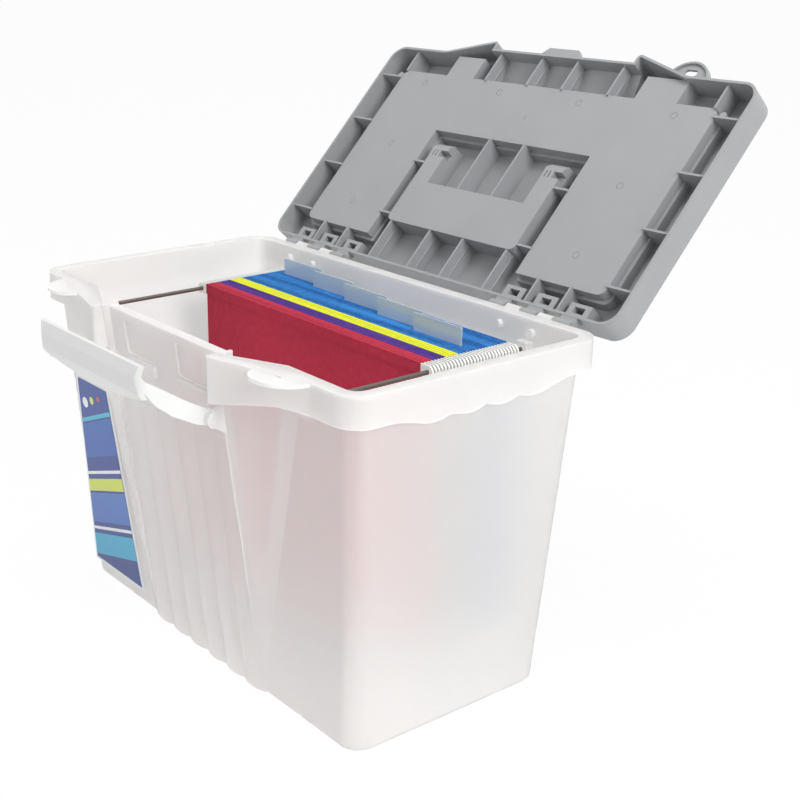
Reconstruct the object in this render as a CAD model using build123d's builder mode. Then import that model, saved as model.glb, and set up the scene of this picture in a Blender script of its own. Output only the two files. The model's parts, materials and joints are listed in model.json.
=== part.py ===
"""Portable file box with a hinged organizer lid, hanging folders and a bow-shaped front latch.

Frame: millimetres, +Z up, X to the box's right, front towards -Y.
The origin is the middle of the tub's underside. The box stands with its lid leaning
open and its latch swung out, so the lid and the latch are drawn closed or open as
each is easiest to read, and placed by planes that are turned about their hinges.
"""

import os
from math import atan2, cos, radians, sin

from build123d import *

os.makedirs("parts", exist_ok=True)

# ------------------------------------------------------------------ driving sizes

# Tub
rim_width = 454.0
rim_depth = 244.0
tub_height = 294.0
base_width = 402.0
base_depth = 194.0
rim_corner = 22.0
base_corner = 18.0
wall = 2.4
floor_thickness = 3.0
flange_ledge = 9.0          # how far the flange stands out from the tub wall
flange_thickness = 2.6
skirt_drop = 24.0
skirt_wall = 2.0

# Front bow: the middle of the front leans out and two shoulders flank it
bow_half = 84.0
bow_forward = 9.0           # middle wall, past the flange's straight front
shoulder_forward = 25.0     # shoulder tips, past the flange's straight front
shoulder_reach = 180.0      # where a shoulder runs back into the straight front
shoulder_drop = 13.0        # how much deeper the skirt hangs at the shoulder tips
ear_middle = 156.0          # flat ear on each shoulder's flange
ear_length = 50.0
ear_forward = 26.0          # ear, past the flange's straight front
ear_slot = 8.0
bow_step = 2.0              # top of the middle wall, below the rim
shelf_depth = 9.0
flute_count = 6
flute_rise = 3.0
flute_top = 222.0
window_width = 44.0
window_height = 28.0
window_depth = 1.0
window_pitch = 79.0
window_foot = 259.0
sill_height = 10.0
sill_stand = 3.0

# Side grips under the skirt
grip_length = 132.0
grip_lobes = 4
grip_drop = 7.0
grip_rise = 3.5

# Rails and folders
rail_diameter = 3.5
rail_half_gauge = 157.0
rail_drop = 23.5            # rail centre, below the rim
rail_fit = 0.05
socket_size = 12.0
socket_depth = 6.0
paper_width = 298.0
paper_height = 235.0
paper_thickness = 0.7
hem_thickness = 2.4
hem_height = 9.0
rod_thickness = 1.0
rod_height = 6.8
slip = 0.05                 # clearance of a rod in its hem
flap_pitch = 3.3
pack_gap = 0.8              # between the rearmost folder and the back wall, at the foot
pack_plan = (("red", 2), ("purple", 2), ("yellow", 2), ("blue", 8))
hook_reach = 13.2
hook_height = 10.0
hook_notch = 4.2
hook_ride = 0.1             # clearance of a hook on its rail
tab_count = 5
tab_width = 57.0
tab_height = 15.0
tab_thickness = 1.2
tab_pitch = 54.0
insert_thickness = 0.3

# Lid, drawn closed
lid_inset = 4.0             # lid edge, inside the edge of the tub's flange
lid_height = 26.0
lid_gap = 0.2               # between the closed lid and the flange
lid_wall = 2.4
lid_skin = 2.6
lid_corner = 16.0
lid_shoulder_reach = 148.0  # where the lid's shoulders run back into its straight front
lid_shoulder_forward = 14.0 # lid's shoulder tips, past the flange's straight front
lid_open_angle = 133.0
brow_height = 10.0          # slope on the front edge, under the closed latch
brow_angle = 25.0
tray_half_width = 194.0
tray_front = -93.0
tray_back = 92.0
tray_lift = 5.0             # tray floor, above the lid's free edge
tray_wall = 2.2
tray_step = 3.0             # the tray widens by a step near its mouth
tray_step_depth = 10.0
tray_corner = 8.0
notch_half_width = 98.0
notch_front = -30.0
pocket_half_width = 83.0
pocket_front = 28.0
pocket_back = 74.0
pocket_lift = 2.5
channel_width = 21.0
channel_front = -17.0
channel_depth = 12.5
gusset_thickness = 2.0
gusset_lift = 3.0
bead_lift = 12.0            # thin bead across each gusset
slot_length = 11.0          # slots in the hinge blocks
slot_width = 5.5
boss_left = (-132.0, -95.0) # ends of the hollow bosses in front of the tray
boss_right = (105.0, 150.0)
peg_radius = 3.2
tab_half_width = 25.0
tab_forward = 7.0
tab_depth = 5.0
loop_centre = 142.5
loop_radius = 21.5
loop_plate = 2.2
loop_rim = 2.0
loop_rim_height = 6.0
loop_lift = 8.0
loop_slot = 13.0
loop_slot_width = 6.0

# Lid hinge
hinge_radius = 3.4
hinge_stand = 3.6           # hinge axis, behind the flange
hinge_drop = 1.0            # hinge axis, below the rim
hinge_centre = 144.0
hinge_pin_radius = 1.9
hinge_fit = 0.05
lid_knuckle_width = 16.0
lid_knuckle_pitch = 36.0
tub_knuckle_width = 14.0
hinge_pin_length = 92.0

# Organizer cover, drawn closed
cover_thickness = 2.4
cover_gap = 0.4
cover_lap = 6.0             # cover edge, past the tray opening
cover_lip = 4.0
cover_lip_wall = 1.6
cover_lip_gap = 0.6
cover_pin_radius = 1.4
cover_knuckle_radius = 3.0
cover_knuckle_width = 22.0
cover_ear_width = 6.0
cover_hinge_centre = 146.0
cover_tab_width = 60.0
cover_tab_forward = 7.0

# Carry handle, drawn folded flat in the lid
carry_arm_width = 14.6
carry_thickness = 10.0
carry_grip_width = 18.0
carry_pivot_y = -3.0
carry_heel = 5.0
carry_grip_back = 66.0
carry_flush = 1.2           # handle top, below the lid's top
carry_pin_radius = 3.0
carry_fit = 0.05

# Latch handle, drawn open
latch_half_width = 79.7
latch_corner = 10.0
latch_arm = 6.0
latch_band = 3.5
latch_pivot_forward = 16.5  # pivot, past the flange's straight front
latch_pivot_drop = 51.0     # pivot, below the rim
latch_eye = 6.5
latch_pin_radius = 2.5
latch_fit = 0.05
latch_reach = 56.9          # top of the band, ahead of the pivot
latch_belly = 2.5           # how far the band swells beyond its top
latch_band_foot = 16.2      # band's lower edge at its middle, above the pivot
latch_band_rise = 10.0      # how much higher that edge is at its ends
latch_band_top = 50.2

# Label
label_thickness = 0.3
label_foot = 12.0
label_top = 200.0
label_left = 196.0
label_right_foot = 106.0
label_right_top = 138.5

# ------------------------------------------------------------------ derived places

wall_width = rim_width - 2 * flange_ledge
wall_depth = rim_depth - 2 * flange_ledge
hinge_y = rim_depth / 2 + hinge_stand
hinge_z = tub_height - hinge_drop
rail_z = tub_height - rail_drop
lid_floor = tub_height + lid_gap
lid_top = lid_floor + lid_height
lid_width = rim_width - 2 * lid_inset
lid_depth = rim_depth - 2 * lid_inset
tray_floor = lid_floor + tray_lift
pivot_y = -(rim_depth / 2 + latch_pivot_forward)
pivot_z = tub_height - latch_pivot_drop
bow_top = tub_height - bow_step


def front_at(height):
    """How far forward the tub's straight front stands at a height."""
    return base_depth / 2 + (wall_depth - base_depth) / 2 * height / tub_height


def bow_at(height):
    """How far forward the leaning middle of the front stands at a height."""
    top = rim_depth / 2 + bow_forward
    return base_depth / 2 + (top - base_depth / 2) * height / bow_top


swing = (
    Location((0, hinge_y, hinge_z))
    * Location((0, 0, 0), (-lid_open_angle, 0, 0))
    * Location((0, -hinge_y, -hinge_z))
)


def opened(plane):
    """A plane of the closed lid, carried to where the open lid stands."""
    return Plane(swing * plane.location)


def level(height):
    """A level plane of the closed lid, carried to where the open lid stands."""
    return opened(Plane.XY.offset(height))


def across(x):
    """A plane across the box at x, with its own x running back and its y running up."""
    return Plane(origin=(x, 0, 0), x_dir=(0, 1, 0), z_dir=(1, 0, 0))


def bow_outline(width, depth, corner, reach, tip_y, middle_y, tip_x):
    """Rounded rectangle whose front swells into two shoulders with a step between them."""
    half = width / 2
    right = [(tip_x, middle_y), (tip_x, tip_y), (reach, -depth / 2), (half, -depth / 2), (half, depth / 2)]
    left = [(-x, y) for x, y in reversed(right)]
    with BuildSketch(mode=Mode.PRIVATE) as outline:
        with BuildLine():
            Polyline(*right, *left, close=True)
        make_face()
        sides = outline.vertices().filter_by(lambda v: abs(v.X) > half - 0.1)
        fillet(sides, corner)
        runs = outline.vertices().filter_by(lambda v: abs(abs(v.X) - reach) < 0.1)
        fillet(runs, 24)
        tips = outline.vertices().filter_by(lambda v: v.Y < tip_y + 0.1)
        fillet(tips, 4)
    return outline.sketch


# ------------------------------------------------------------------ tub

rim_outline = bow_outline(
    rim_width,
    rim_depth,
    rim_corner,
    shoulder_reach,
    -(rim_depth / 2 + shoulder_forward),
    -wall_depth / 2,
    bow_half,
)


def shoulder(inset):
    """One shoulder as a tall wedge, from its triangle under the rim to a point at the foot."""
    side = bow_half - 0.5 + 1.2 * inset
    tip = rim_depth / 2 + shoulder_forward - flange_ledge - 1.6 * inset
    reach = shoulder_reach - 1.3 * flange_ledge - 3 * inset
    back = wall_depth / 2 - 2 - 4 * inset
    foot_back = base_depth / 2 - 1 - 4 * inset
    with BuildPart() as wedge:
        with BuildSketch(Plane.XY.offset(tub_height)):
            with BuildLine():
                Polyline((side, -back), (side, -tip), (reach, -back), close=True)
            make_face()
        with BuildSketch(Plane.XY.offset(floor_thickness if inset else 0)):
            with BuildLine():
                Polyline((side, -foot_back), (side, -foot_back - 1.5), (side + 3, -foot_back), close=True)
            make_face()
        loft(ruled=True)
    return wedge.part


def fluted_front(rise, height, spread):
    """Closed outline of the middle front at a height, scalloped by the flutes."""
    chord = bow_at(height)
    step = 2 * spread / flute_count
    with BuildSketch(Plane.XY.offset(height)) as outline:
        with BuildLine():
            for i in range(flute_count):
                start = -spread + i * step
                ThreePointArc((start, -chord), (start + step / 2, -chord - rise), (start + step, -chord))
            Polyline((spread, -chord), (spread, -chord + 14), (-spread, -chord + 14), (-spread, -chord))
        make_face()
    return outline.sketch


def plain_front(height, depth, spread):
    """Plain slice of the middle front at a height."""
    with BuildSketch(Plane.XY.offset(height)) as outline:
        with Locations((0, -bow_at(height) + depth / 2)):
            Rectangle(2 * spread, depth)
    return outline.sketch


def leaning(foot, top, height):
    """A plane on a leaning front wall, looking out, with its own y running up the wall."""
    lean = atan2(top - foot, height)
    return Plane(origin=(0, -foot, 0), x_dir=(1, 0, 0), z_dir=(0, -cos(lean), -sin(lean)))


bow_face = leaning(bow_at(0), bow_at(bow_top), bow_top)
front_face = leaning(front_at(0), front_at(tub_height), tub_height)
skirt_foot = tub_height - skirt_drop
socket_face = front_at(rail_z) - wall
rail_half_length = socket_face - 0.6

with BuildPart() as tub_core:
    with BuildSketch():
        RectangleRounded(base_width, base_depth, base_corner)
    with BuildSketch(Plane.XY.offset(tub_height)):
        RectangleRounded(wall_width, wall_depth, rim_corner - flange_ledge)
    loft(ruled=True)
    fillet(tub_core.faces().sort_by(Axis.Z)[0].edges(), 4)

with BuildPart() as tub_room:
    with BuildSketch(Plane.XY.offset(floor_thickness)):
        RectangleRounded(base_width - 2 * wall, base_depth - 2 * wall, base_corner - wall)
    with BuildSketch(Plane.XY.offset(tub_height)):
        RectangleRounded(wall_width - 2 * wall, wall_depth - 2 * wall, rim_corner - flange_ledge - wall)
    loft(ruled=True)

with BuildPart() as bow_room:
    loft(
        [
            plain_front(floor_thickness, 30, bow_half + wall + 0.5).moved(Location((0, wall, 0))),
            plain_front(bow_top - flange_thickness, 30, bow_half + wall + 0.5).moved(Location((0, wall, 0))),
        ],
        ruled=True,
    )
    with BuildSketch(Plane.XY.offset(bow_top - flange_thickness - 1)):
        with Locations((0, -bow_at(bow_top) + shelf_depth + 10)):
            Rectangle(2 * bow_half + 2 * wall + 1, 20)
    extrude(amount=tub_height)

with BuildPart() as tub:
    with BuildSketch(Plane.XY.offset(skirt_foot - shoulder_drop)):
        add(rim_outline)
    extrude(amount=skirt_drop + shoulder_drop)
    with BuildSketch(Plane.XY.offset(skirt_foot - shoulder_drop)):
        add(rim_outline)
        offset(amount=-skirt_wall, kind=Kind.INTERSECTION, mode=Mode.REPLACE)
    extrude(amount=skirt_drop + shoulder_drop - flange_thickness, mode=Mode.SUBTRACT)
    # the skirt is level all round, but hangs deeper towards the shoulder tips
    with BuildSketch(Plane.XY.offset(skirt_foot - shoulder_drop)):
        with Locations((0, rim_depth / 2 + 5 - wall_depth / 2)):
            Rectangle(rim_width + 10, rim_depth + 10)
    extrude(amount=shoulder_drop, mode=Mode.SUBTRACT)
    with BuildSketch(Plane.XZ):
        with BuildLine():
            Polyline(
                (bow_half, skirt_foot - shoulder_drop),
                (ear_middle - 6, skirt_foot),
                (rim_width, skirt_foot),
                (rim_width, skirt_foot - shoulder_drop - 5),
                (bow_half, skirt_foot - shoulder_drop - 5),
                close=True,
            )
        make_face()
        mirror(about=Plane.YZ)
    extrude(amount=rim_depth, mode=Mode.SUBTRACT)
    # flat ears on the flange of the shoulders, each with a slot
    with BuildSketch(Plane.XY.offset(tub_height - flange_thickness)):
        for side in (-1, 1):
            with BuildLine():
                tip = -rim_depth / 2 - ear_forward
                Spline(
                    (side * (ear_middle - ear_length / 2), tip + 16),
                    (side * (ear_middle - ear_length / 2 + 6), tip + 4.5),
                    (side * ear_middle, tip),
                    (side * (ear_middle + ear_length / 2 - 6), tip + 9),
                    (side * (ear_middle + ear_length / 2), -rim_depth / 2 + 1),
                )
                Polyline(
                    (side * (ear_middle + ear_length / 2), -rim_depth / 2 + 1),
                    (side * (ear_middle - ear_length / 2), -rim_depth / 2 + 1),
                    (side * (ear_middle - ear_length / 2), tip + 16),
                )
            make_face()
    extrude(amount=flange_thickness)
    with BuildSketch(Plane.XY.offset(tub_height - flange_thickness)):
        with Locations((0, 4 - rim_depth / 2 - ear_forward / 2)):
            with GridLocations(2 * ear_middle, 0, 2, 1):
                Rectangle(ear_slot, 1.6)
    extrude(amount=flange_thickness, mode=Mode.SUBTRACT)
    # side grips: scalloped tongues that lengthen the skirt at both ends
    with BuildSketch(across(rim_width / 2 - skirt_wall)):
        with BuildLine():
            lobe = grip_length / grip_lobes
            start = -grip_length / 2
            valley = skirt_foot - grip_drop + grip_rise
            Polyline((start, valley), (start - 18, skirt_foot), (start - 18, skirt_foot + 1))
            Polyline((start - 18, skirt_foot + 1), (-start + 18, skirt_foot + 1), (-start + 18, skirt_foot))
            Line((-start + 18, skirt_foot), (-start, valley))
            for i in range(grip_lobes):
                left = start + i * lobe
                ThreePointArc((left, valley), (left + lobe / 2, valley - grip_rise), (left + lobe, valley))
        make_face()
    grips = extrude(amount=skirt_wall)
    add(grips.mirror(Plane.YZ))
    # walls: tapered core, shoulders and leaning middle
    add(tub_core.part)
    wedge = shoulder(0)
    add(wedge)
    add(wedge.mirror(Plane.YZ))
    fluted_foot = fluted_front(flute_rise, 0, bow_half)
    fluted_head = fluted_front(flute_rise / 3, flute_top, bow_half)
    loft([fluted_foot, fluted_head], ruled=True)
    loft([plain_front(flute_top - 8, 14, bow_half), plain_front(bow_top, 14, bow_half)], ruled=True)
    # latch lugs in front of the shoulders
    with BuildSketch(across(latch_half_width + 0.5)):
        with Locations((pivot_y, pivot_z)):
            Circle(latch_eye)
        with BuildLine():
            Polyline(
                (pivot_y, pivot_z + latch_eye),
                (-bow_at(pivot_z + 12) + 0.8, pivot_z + 12),
                (-bow_at(pivot_z - 16) + 0.8, pivot_z - 16),
                (pivot_y, pivot_z - latch_eye),
                close=True,
            )
        make_face()
    lugs = extrude(amount=bow_half + 2 - latch_half_width - 0.5)
    add(lugs.mirror(Plane.YZ))
    # rear hinge knuckles
    for side in (-1, 1):
        for step in (-0.5, 0.5):
            middle = side * hinge_centre + step * lid_knuckle_pitch
            with BuildSketch(across(middle - tub_knuckle_width / 2)):
                with Locations((hinge_y, hinge_z)):
                    Circle(hinge_radius)
                with BuildLine():
                    Polyline(
                        (rim_depth / 2 - 1, tub_height),
                        (hinge_y, hinge_z + hinge_radius),
                        (hinge_y + hinge_radius, hinge_z),
                        (rim_depth / 2 - 1, hinge_z - 4 * hinge_radius),
                        close=True,
                    )
                make_face()
                with Locations((hinge_y, hinge_z)):
                    Circle(hinge_pin_radius + hinge_fit, mode=Mode.SUBTRACT)
            extrude(amount=tub_knuckle_width)
    # room inside
    add(tub_room.part, mode=Mode.SUBTRACT)
    add(bow_room.part, mode=Mode.SUBTRACT)
    inner_wedge = shoulder(wall)
    add(inner_wedge, mode=Mode.SUBTRACT)
    add(inner_wedge.mirror(Plane.YZ), mode=Mode.SUBTRACT)
    # windows and sills on the leaning middle
    with BuildSketch(bow_face):
        with Locations((0, window_foot + window_height / 2)):
            with GridLocations(window_pitch, 0, 2, 1):
                RectangleRounded(window_width, window_height, 4)
    extrude(amount=-window_depth, mode=Mode.SUBTRACT)
    with BuildSketch(bow_face):
        with Locations((0, window_foot - 2 - sill_height / 2)):
            with GridLocations(window_pitch, 0, 2, 1):
                RectangleRounded(window_width, sill_height, 2)
    extrude(amount=sill_stand)
    # rail sockets on the front and back walls
    with BuildSketch(across(rail_half_gauge - socket_size / 2)):
        with BuildLine():
            Polyline(
                (socket_face + wall / 2, rail_z + socket_size / 2),
                (socket_face - socket_depth, rail_z + socket_size / 2),
                (socket_face - socket_depth, rail_z - socket_size / 3),
                (socket_face + wall / 2 - 0.8, rail_z - socket_size),
                close=True,
            )
        make_face()
        mirror(about=Plane.YZ)
    sockets = extrude(amount=socket_size)
    add(sockets.mirror(Plane.YZ))
    # round posts inside the back wall, under the hinges
    post_z = tub_height - 3 * hinge_radius
    with BuildSketch(Plane.XZ.offset(-front_at(post_z) + wall / 2)):
        for side in (-1, 1):
            for step in (-0.5, 0.5):
                with Locations((side * hinge_centre + step * lid_knuckle_pitch, post_z)):
                    Circle(hinge_radius)
    extrude(amount=wall / 2 + 4)
    with BuildSketch(Plane.XZ):
        with Locations((-rail_half_gauge, rail_z), (rail_half_gauge, rail_z)):
            Circle(rail_diameter / 2 + rail_fit)
    extrude(amount=rail_half_length + 0.3, both=True, mode=Mode.SUBTRACT)
    # holes for the latch pins
    with BuildSketch(Plane.YZ):
        with Locations((pivot_y, pivot_z)):
            Circle(latch_pin_radius + latch_fit)
    extrude(amount=bow_half + 4, both=True, mode=Mode.SUBTRACT)

tub.part.label = "tub"

# ------------------------------------------------------------------ rails

for name, side in (("rail_left", -1), ("rail_right", 1)):
    with BuildPart() as rail:
        with BuildSketch(Plane.XZ):
            with Locations((side * rail_half_gauge, rail_z)):
                Circle(rail_diameter / 2)
        extrude(amount=rail_half_length, both=True)
    rail.part.label = name
    export_step(rail.part, f"parts/{name}.step")

# ------------------------------------------------------------------ label

with BuildPart() as front_label:
    with BuildSketch(front_face):
        with BuildLine():
            Polyline(
                (-label_left, label_foot),
                (-label_right_foot, label_foot),
                (-label_right_top, label_top),
                (-label_left, label_top),
                close=True,
            )
        make_face()
    extrude(amount=label_thickness)

front_label.part.label = "front_label"

# ------------------------------------------------------------------ hanging folders

notch_top = rail_z + rail_diameter / 2 + hook_ride
hook_top = notch_top + 3.6
hem_top = hook_top + 0.3
hem_foot = hem_top - hem_height
folder_foot = hem_top - paper_height
rod_half_length = paper_width / 2 + 0.6


def folder(front):
    """One hanging folder: a folded sheet with a hem for a rod along each top edge."""
    near = front + hem_thickness / 2
    far = near + flap_pitch
    half = paper_thickness / 2
    turn = folder_foot + flap_pitch / 2 + half
    with BuildPart() as sheet:
        with BuildSketch(across(-paper_width / 2)):
            with BuildLine():
                Line((near - half, hem_foot + 1), (near - half, turn))
                ThreePointArc((near - half, turn), (near + flap_pitch / 2, folder_foot), (far + half, turn))
                Line((far + half, turn), (far + half, hem_foot + 1))
                Line((far + half, hem_foot + 1), (far - half, hem_foot + 1))
                Line((far - half, hem_foot + 1), (far - half, turn))
                ThreePointArc(
                    (far - half, turn),
                    (near + flap_pitch / 2, folder_foot + paper_thickness),
                    (near + half, turn),
                )
                Line((near + half, turn), (near + half, hem_foot + 1))
                Line((near + half, hem_foot + 1), (near - half, hem_foot + 1))
            make_face()
            with Locations((near, hem_foot + hem_height / 2), (far, hem_foot + hem_height / 2)):
                Rectangle(hem_thickness, hem_height)
                Rectangle(rod_thickness + 2 * slip, rod_height + 2 * slip, mode=Mode.SUBTRACT)
        extrude(amount=paper_width)
    return sheet.part


def rods(front):
    """The two flat rods of one folder."""
    with BuildPart() as pair:
        with BuildSketch(across(-rod_half_length)):
            for flap in (0, 1):
                with Locations((front + hem_thickness / 2 + flap * flap_pitch, hem_foot + hem_height / 2)):
                    Rectangle(rod_thickness, rod_height)
        extrude(amount=2 * rod_half_length)
    return pair.part


def hooks(front):
    """The four coated hook ends of one folder, which straddle the rails."""
    with BuildPart() as ends:
        for flap in (0, 1):
            middle = front + hem_thickness / 2 + flap * flap_pitch
            with BuildSketch(Plane.XZ.offset(-middle)):
                for side in (-1, 1):
                    inner = side * rod_half_length
                    outer = side * (rod_half_length + hook_reach)
                    with BuildLine():
                        Polyline(
                            (inner, hook_top),
                            (outer - side * 3, hook_top),
                            (outer, hook_top - 3),
                            (outer, hook_top - hook_height),
                            (inner, hook_top - hook_height),
                            close=True,
                        )
                    make_face()
                    with Locations((side * rail_half_gauge, notch_top - hook_height)):
                        Rectangle(hook_notch, 2 * hook_height, mode=Mode.SUBTRACT)
            extrude(amount=rod_thickness * 0.7, both=True)
    return ends.part


flap_count = 2 * sum(count for _, count in pack_plan)
pack_depth = (flap_count - 1) * flap_pitch + hem_thickness
pack_back = min(front_at(folder_foot) - wall, socket_face - socket_depth) - pack_gap
front = pack_back - pack_depth
tab_fronts = []
for colour, count in pack_plan:
    places = [front + 2 * i * flap_pitch for i in range(count)]
    front += 2 * count * flap_pitch
    if colour == "blue":
        tab_fronts = places[-tab_count - 1 : -1]
    for kind, make in (("folders", folder), ("rods", rods), ("hooks", hooks)):
        with BuildPart() as group:
            for place in places:
                add(make(place))
        group.part.label = f"{kind}_{colour}"
        export_step(group.part, f"parts/{kind}_{colour}.step")
        print(f"{kind}_{colour}", len(group.solids()), "solids, from y", round(places[0], 1))

with BuildPart() as index_tabs:
    for i, place in enumerate(reversed(tab_fronts)):
        middle = (i - (tab_count - 1) / 2) * tab_pitch
        near = place + hem_thickness / 2
        with BuildSketch(Plane.XZ.offset(-near)):
            with Locations((middle, hem_top + tab_height / 2)):
                Rectangle(tab_width, tab_height)
        extrude(amount=tab_thickness / 2, both=True)
        with BuildSketch(Plane.XZ.offset(-near)):
            with Locations((middle, hem_top + tab_height / 2)):
                Rectangle(tab_width + 1, tab_height - 3)
        extrude(amount=insert_thickness / 2 + slip, both=True, mode=Mode.SUBTRACT)

index_tabs.part.label = "index_tabs"

with BuildPart() as tab_inserts:
    for i, place in enumerate(reversed(tab_fronts)):
        middle = (i - (tab_count - 1) / 2) * tab_pitch
        near = place + hem_thickness / 2
        with BuildSketch(Plane.XZ.offset(-near)):
            with Locations((middle, hem_top + tab_height / 2)):
                Rectangle(tab_width - 2, tab_height - 3 - 2 * slip)
        extrude(amount=insert_thickness / 2, both=True)

tab_inserts.part.label = "tab_inserts"

# ------------------------------------------------------------------ lid

lid_tip = -(rim_depth / 2 + lid_shoulder_forward)
lid_middle = -(lid_depth / 2 + 8)
lid_outline = bow_outline(
    lid_width,
    lid_depth,
    lid_corner,
    lid_shoulder_reach,
    lid_tip,
    lid_middle,
    bow_half + 2,
)
lid_axis = Axis((0, hinge_y, hinge_z), level(0).z_dir)


def tray_outline(inset):
    """The tray's arch-shaped plan, drawn in from its outside by an inset."""
    with BuildSketch(mode=Mode.PRIVATE) as plan:
        with Locations((0, (tray_front + tray_back) / 2)):
            RectangleRounded(2 * (tray_half_width - inset), tray_back - tray_front - 2 * inset, tray_corner)
        with Locations((0, (notch_front - inset + tray_back + 20) / 2)):
            Rectangle(
                2 * (notch_half_width + inset), tray_back + 20 - notch_front + inset, mode=Mode.SUBTRACT
            )
    return plan.sketch


def pocket_outline(inset):
    """The finger pocket's plan."""
    with BuildSketch(mode=Mode.PRIVATE) as plan:
        with Locations((0, (pocket_front + pocket_back) / 2)):
            RectangleRounded(2 * (pocket_half_width - inset), pocket_back - pocket_front - 2 * inset, 6)
    return plan.sketch


def channel_outline(inset):
    """The two arm channels, from the pivots back into the finger pocket."""
    with BuildSketch(mode=Mode.PRIVATE) as plan:
        for side in (-1, 1):
            middle = side * (pocket_half_width - channel_width / 2)
            with Locations((middle, (channel_front + pocket_front + 8) / 2)):
                Rectangle(channel_width - 2 * inset, pocket_front + 8 - channel_front - 2 * inset)
    return plan.sketch


carry_pivot_z = lid_top - carry_flush - carry_thickness / 2
skin_foot = lid_top - lid_skin

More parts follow.
